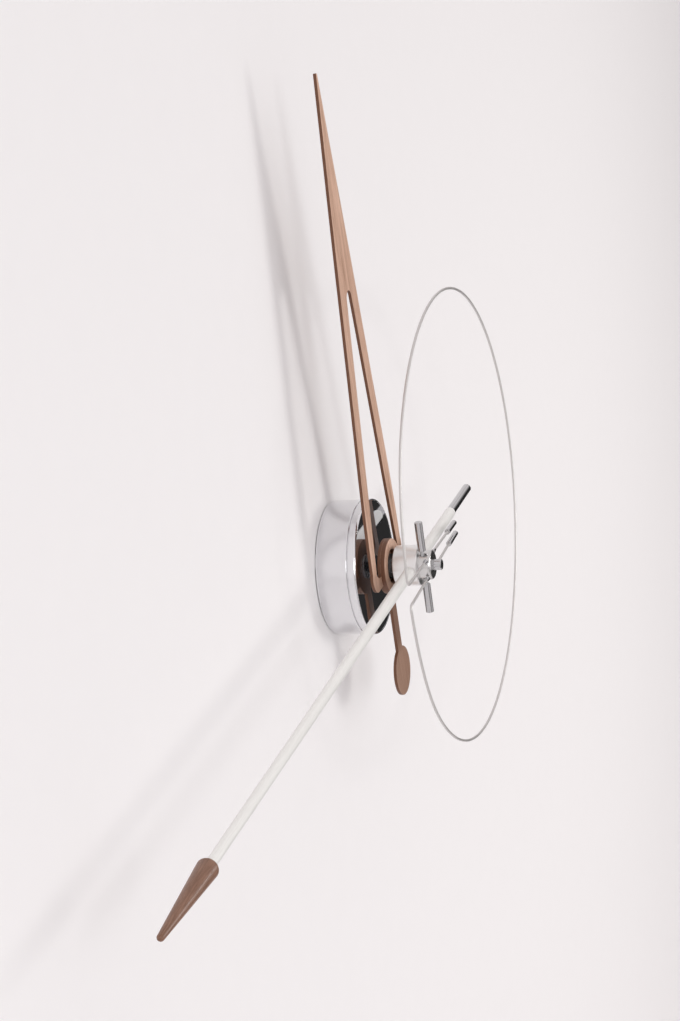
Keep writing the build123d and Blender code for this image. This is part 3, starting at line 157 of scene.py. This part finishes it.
def walnut(name, turn, flat=True):
    """Oiled walnut, its grain along a hand; a flat piece has painted shade on its back, dark cut edges with
    painted shade on its sides, and a darker tail.
    """
    coat, coat_roughness = (FLAT_COAT, FLAT_COAT_ROUGHNESS) if flat else (ROUND_COAT, ROUND_COAT_ROUGHNESS)
    s = Shader(name, Specular_IOR_Level=0.40, Coat_Weight=coat, Coat_Roughness=coat_roughness)
    grain = s.noise(s.stretched(turn, 1.0, 0.03), 1300, 5.0, 0.62, 0.4)
    bands = s.noise(s.stretched(turn, 1.0, 0.05), 190, 3.0, 0.5, 1.1)
    pores = s.noise(s.stretched(turn, 1.0, 0.03), 3400, 2.0, 0.5)
    drift = s.noise(s.place(), 14, 2.0)
    tone = s.math("ADD", s.math("MULTIPLY", grain, 0.55), s.math("MULTIPLY", bands, 0.45))
    wood = s.ramp(tone, (0.36, WALNUT_DARK), (0.50, WALNUT_MEAN), (0.64, WALNUT_LIGHT))
    wood = s.mix(s.span(drift, 0.0, 0.30), wood, STREAK)
    pore_mask = s.ramp(pores, (0.60, 0.0), (0.72, 1.0))
    wood = s.mix(s.math("MULTIPLY", pore_mask, 0.5), wood, PORE)
    if flat:
        facing = s.node("SeparateXYZ", {0: s.node("TexCoord").outputs["Normal"]}).outputs[1]
        along = s.node("SeparateXYZ", {0: s.stretched(turn, 1.0, 1.0)}).outputs[2]
        from_end = s.math("ADD", along, TAIL_LENGTH)
        tail = s.ramp(from_end, (0.05, 0.70), (0.065, 0.97), (0.115, 0.97), (0.15, 0.0))
        wood = s.mix(tail, wood, s.mix(grain, TAIL_DARK, TAIL_LIGHT))
        # Painted shade: every face that does not look to the front, the back and the sides, turns dark; on the
        # sides this also stands for dark cut edges.
        side = s.ramp(s.math("MULTIPLY", facing, -1.0), (0.35, 1.0), (0.75, 0.0))
    else:
        side = s.ramp(grain, (0.0, 1.0), (1.0, 0.72))
    wood = s.mix(side, wood, s.mix(grain, SIDE_DARK, SIDE_LIGHT))
    s.bump(s.math("SUBTRACT", grain, pore_mask), 0.00006, 0.6)
    return s.set(Base_Color=wood, Roughness=s.span(grain, 0.36, 0.54)).material


def polished(name, colour, low, high, scale=260, turned=True):
    """Polished metal with faint wipe marks and a fine lathe texture."""
    s = Shader(name, Metallic=1.0)
    haze = s.noise(s.place(), scale * 0.12, 3.0)
    marks = s.node("Mapping", {"Vector": s.place(), "Scale": (1.0, 18.0 if turned else 1.0, 1.0)}).outputs[0]
    lines = s.noise(marks, scale, 4.0, 0.6)
    tint = s.mix(s.span(haze, 0.0, 1.0), tuple(c * 0.94 for c in colour) + (1.0,), colour + (1.0,))
    s.bump(lines, 0.00002, 0.25)
    rough = s.math("ADD", s.span(haze, low, high), s.span(lines, -0.01, 0.015))
    return s.set(Base_Color=tint, Roughness=rough).material


def mirror_face(name):
    s = Shader(name, Metallic=1.0)
    smear = s.noise(s.place(), 22, 4.0, 0.6)
    dust = s.ramp(s.noise(s.place(), 2600, 2.0), (0.70, 0.0), (0.78, 1.0))
    rough = s.math("ADD", s.span(smear, 0.015, 0.05), s.math("MULTIPLY", dust, 0.12))
    tint = s.mix(smear, (0.66, 0.68, 0.71, 1.0), (0.72, 0.73, 0.75, 1.0))
    return s.set(Base_Color=tint, Roughness=rough).material


def fibreglass(name, turn):
    """Satin off-white tube with faint fibres along it."""
    s = Shader(name, Specular_IOR_Level=0.5, Coat_Weight=0.25, Coat_Roughness=0.22)
    fibres = s.noise(s.stretched(turn, 1.0, 0.02), 2200, 4.0, 0.6)
    cloud = s.noise(s.place(), 45, 2.0)
    tone = s.ramp(fibres, (0.35, (0.78, 0.78, 0.755)), (0.60, (0.86, 0.86, 0.835)))
    tone = s.mix(s.span(cloud, 0.0, 0.20), tone, (0.79, 0.785, 0.76, 1.0))
    s.bump(fibres, 0.00003, 0.4)
    return s.set(Base_Color=tone, Roughness=s.span(fibres, 0.30, 0.42)).material


def plain(name, dark, light, low, high, scale=300, metallic=0.0, depth=0.00003):
    """Moulded, painted or rough metal surface: mottled colour, varied roughness and a fine bump."""
    s = Shader(name, Metallic=metallic)
    mottle = s.noise(s.place(), scale, 4.0, 0.6)
    cloud = s.noise(s.place(), scale * 0.08, 2.0)
    tone = s.mix(s.math("MULTIPLY", s.math("ADD", mottle, cloud), 0.5), dark + (1.0,), light + (1.0,))
    s.bump(mottle, depth, 0.5)
    return s.set(Base_Color=tone, Roughness=s.span(mottle, low, high)).material


def winding(name):
    """Enamelled copper, the turns lying side by side along X."""
    s = Shader(name, Metallic=0.85)
    wave = s.node("TexWave", {"Vector": s.place(), "Scale": 1500.0, "Distortion": 0.4}, bands_direction="X")
    tone = s.ramp(wave.outputs["Fac"], (0.0, (0.20, 0.06, 0.02)), (0.7, (0.70, 0.30, 0.13)))
    s.bump(wave.outputs["Fac"], 0.00008)
    return s.set(Base_Color=tone, Roughness=s.span(wave.outputs["Fac"], 0.45, 0.25)).material


materials = {
    "galvanised_steel": plain("galvanised_steel", (0.42, 0.43, 0.44), (0.66, 0.67, 0.68), 0.35, 0.55, 90, 0.9),
    "polished_steel": polished("polished_steel", (0.81, 0.81, 0.83), 0.10, 0.19),
    "mirror_face": mirror_face("mirror_face"),
    "chrome": polished("chrome", (0.55, 0.55, 0.56), 0.06, 0.12, 420),
    "steel_wire": polished("steel_wire", (0.66, 0.645, 0.635), 0.40, 0.52, 700, False),
    "steel": polished("steel", (0.60, 0.60, 0.61), 0.20, 0.34, 600),
    "satin_metal": polished("satin_metal", (0.86, 0.855, 0.85), 0.26, 0.38, 500),
    "black_steel": plain("black_steel", (0.018, 0.018, 0.020), (0.05, 0.05, 0.055), 0.35, 0.5, 500, 0.6),
    "brass": polished("brass", (0.78, 0.58, 0.27), 0.18, 0.32, 500),
    "fibreglass": fibreglass("fibreglass", MINUTE_TURN),
    "housing_plastic": plain("housing_plastic", (0.020, 0.020, 0.022), (0.045, 0.045, 0.048), 0.45, 0.62, 900),
    "gear_plastic": plain("gear_plastic", (0.66, 0.63, 0.54), (0.80, 0.78, 0.70), 0.40, 0.55, 400),
    "rubber": plain("rubber", (0.015, 0.015, 0.015), (0.035, 0.035, 0.035), 0.7, 0.85, 700),
    "circuit_board": plain("circuit_board", (0.03, 0.14, 0.06), (0.06, 0.22, 0.10), 0.30, 0.42, 800),
    "copper_wire": winding("copper_wire"),
    "battery_sleeve": plain("battery_sleeve", (0.03, 0.05, 0.10), (0.06, 0.09, 0.15), 0.22, 0.34, 120),
    "magnet": plain("magnet", (0.09, 0.09, 0.095), (0.18, 0.18, 0.19), 0.4, 0.55, 700, 0.8),
}
# The hub block is a darker and smoother copy of the satin metal of the barrel it sits on; its darker colour is
# painted shade.
shaded_block_material = polished("satin_block_painted_shade", (0.66, 0.655, 0.65), 0.14, 0.26, 500)
walnut_of_hand = {
    "hour_hand": walnut("walnut_hour", HOUR_TURN),
    "minute_hand": walnut("walnut_minute", MINUTE_TURN, flat=False),
}


def material_for(node):
    if node == "hub_block":
        return shaded_block_material
    slot = slot_of[node]
    return walnut_of_hand[body_of[node]] if slot == "walnut" else materials[slot]


def paint(obj, material):
    obj.data.materials.clear()
    obj.data.materials.append(material)


for node, obj in nodes.items():
    for index in range(len(obj.material_slots)):
        obj.material_slots[index].material = material_for(node)

# ---------------------------------------------------------------- refined pieces


def refine(node, width, segments=3, angle=30, weld=1e-6, flatness=0.5):
    """A copy of a CAD node's mesh with small rounded edges, shown in its place."""
    source = nodes[node]
    mesh = source.data.copy()
    welded = bmesh.new()
    welded.from_mesh(mesh)
    bmesh.ops.remove_doubles(welded, verts=welded.verts, dist=weld)
    limit = math.radians(flatness)
    bmesh.ops.dissolve_limit(welded, angle_limit=limit, verts=welded.verts, edges=welded.edges)
    welded.to_mesh(mesh)
    welded.free()
    piece = bpy.data.objects.new(node + "_refined", mesh)
    bpy.context.scene.collection.objects.link(piece)
    bevel = piece.modifiers.new("edges", "BEVEL")
    bevel.width = width
    bevel.segments = segments
    bevel.limit_method = "ANGLE"
    bevel.angle_limit = math.radians(angle)
    mesh.shade_smooth()
    normals = piece.modifiers.new("normals", "WEIGHTED_NORMAL")
    paint(piece, material_for(node))
    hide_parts(node)
    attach(piece, body_of[node])
    return piece


refine("hour_blade", 0.35 * MM)

# ---------------------------------------------------------------- studio


def stage_plane(name, corners, colour):
    """Flat stage surface that is seen only from its front, and that leaves light to what touches it."""
    mesh = bpy.data.meshes.new(name)
    mesh.from_pydata(corners, [], [(0, 1, 2, 3)])
    obj = bpy.data.objects.new(name, mesh)
    bpy.context.scene.collection.objects.link(obj)
    s = Shader(name, Roughness=0.85, Specular_IOR_Level=0.15)
    grain = s.noise(s.place(), 35, 4.0)
    s.set(Base_Color=s.mix(grain, tuple(c * 0.985 for c in colour) + (1.0,), colour + (1.0,)))
    s.bump(grain, 0.0002, 0.2)
    touching = s.math("LESS_THAN", s.node("LightPath").outputs["Ray Length"], TOUCHING)
    clear = s.math("MAXIMUM", touching, s.node("NewGeometry").outputs["Backfacing"])
    seen = s.node("MixShader", {0: clear, 1: s.surface.outputs[0]})
    s.feed(seen.inputs[2], s.node("BsdfTransparent").outputs[0])
    s.feed(s.tree.nodes["Material Output"].inputs["Surface"], seen.outputs[0])
    paint(obj, s.material)
    return obj


HALF_WIDTH, TOP, FLOOR, DEPTH, BEHIND, TOUCHING = 4.5, 3.0, -1.5, 1.8, 0.5 * MM, 3 * MM
WALL_COLOUR = (0.89, 0.880, 0.884)
foot_left, foot_right = (-HALF_WIDTH, BEHIND, FLOOR), (HALF_WIDTH, BEHIND, FLOOR)
head_left, head_right = (-HALF_WIDTH, BEHIND, TOP), (HALF_WIDTH, BEHIND, TOP)
front_left, front_right = (-HALF_WIDTH, -DEPTH, FLOOR), (HALF_WIDTH, -DEPTH, FLOOR)
stage_plane("wall", [foot_left, foot_right, head_right, head_left], WALL_COLOUR)
stage_plane("floor", [front_left, front_right, foot_right, foot_left], WALL_COLOUR)


def softbox(name, position, target, size, watts, colour=(1.0, 1.0, 1.0)):
    light = bpy.data.lights.new(name, "AREA")
    light.shape = "RECTANGLE"
    light.size, light.size_y = size
    light.energy = watts
    light.color = colour
    obj = bpy.data.objects.new(name, light)
    bpy.context.scene.collection.objects.link(obj)
    obj.location = position
    obj.rotation_euler = (Vector(target) - Vector(position)).to_track_quat("-Z", "Y").to_euler()
    return obj


softbox("key", (1.46, -2.50, 0.42), (0, 0, 0), (0.8, 0.8), 18, (1.0, 0.985, 0.965))
softbox("fill", (-2.10, -2.30, -0.20), (0, 0, 0), (0.9, 0.9), 13.4, (0.97, 0.985, 1.0))
ROOM_GREY, ROOM_DARK, FLOOR_SHARE = 0.86, 0.03, 0.45
BACKDROP = (0.86, 0.845, 0.84, 1.0)


def studio_world():
    """Grey room, darker below and dark to the right, where the polished face of the case looks."""
    world = bpy.data.worlds.new("studio")
    world.use_nodes = True
    tree = world.node_tree
    background = tree.nodes["Background"]
    direction = tree.nodes.new("ShaderNodeTexCoord").outputs["Generated"]

    def by_direction(towards, *stops):
        facing = tree.nodes.new("ShaderNodeVectorMath")
        facing.operation = "DOT_PRODUCT"
        facing.inputs[1].default_value = Vector(towards).normalized()
        tree.links.new(direction, facing.inputs[0])
        shade = tree.nodes.new("ShaderNodeValToRGB")
        for element, (position, grey) in zip(shade.color_ramp.elements, stops):
            element.position = position
            element.color = (grey * 1.01, grey * 0.985, grey * 0.985, 1.0)
        tree.links.new(facing.outputs["Value"], shade.inputs["Fac"])
        return shade.outputs["Color"]

    def blend(kind, factor, a, b):
        made = tree.nodes.new("ShaderNodeMix")
        made.data_type = "RGBA"
        made.blend_type = kind
        for socket, value in (("Factor", factor), ("A", a), ("B", b)):
            if isinstance(value, bpy.types.NodeSocket):
                tree.links.new(value, made.inputs[socket])
            else:
                made.inputs[socket].default_value = value
        return made.outputs["Result"]

    right = by_direction((0.94, -0.33, 0.11), (0.80, ROOM_GREY), (0.95, ROOM_DARK))
    below = by_direction((-0.10, -0.30, -0.95), (0.25, 1.0), (0.75, FLOOR_SHARE))
    room = blend("MULTIPLY", 1.0, right, below)
    camera_ray = tree.nodes.new("ShaderNodeLightPath").outputs["Is Camera Ray"]
    tree.links.new(blend("MIX", camera_ray, room, BACKDROP), background.inputs["Color"])
    bpy.context.scene.world = world


studio_world()
bpy.context.scene.view_settings.view_transform = "Standard"

# ---------------------------------------------------------------- camera

CAMERA_AT = Vector((-1.7597, -0.5839, -0.1590))
CAMERA_AZIMUTH, CAMERA_RISE = math.radians(71.74), math.radians(6.53)
CAMERA_LENS, SENSOR_WIDTH = 70.5, 36.0
camera_data = bpy.data.cameras.new("camera")
camera_data.lens = CAMERA_LENS
camera_data.sensor_width = SENSOR_WIDTH
camera = bpy.data.objects.new("camera", camera_data)
bpy.context.scene.collection.objects.link(camera)
camera.location = CAMERA_AT
camera.rotation_euler = (math.radians(90) + CAMERA_RISE, 0, -CAMERA_AZIMUTH)
bpy.context.scene.camera = camera

bpy.context.view_layer.update()
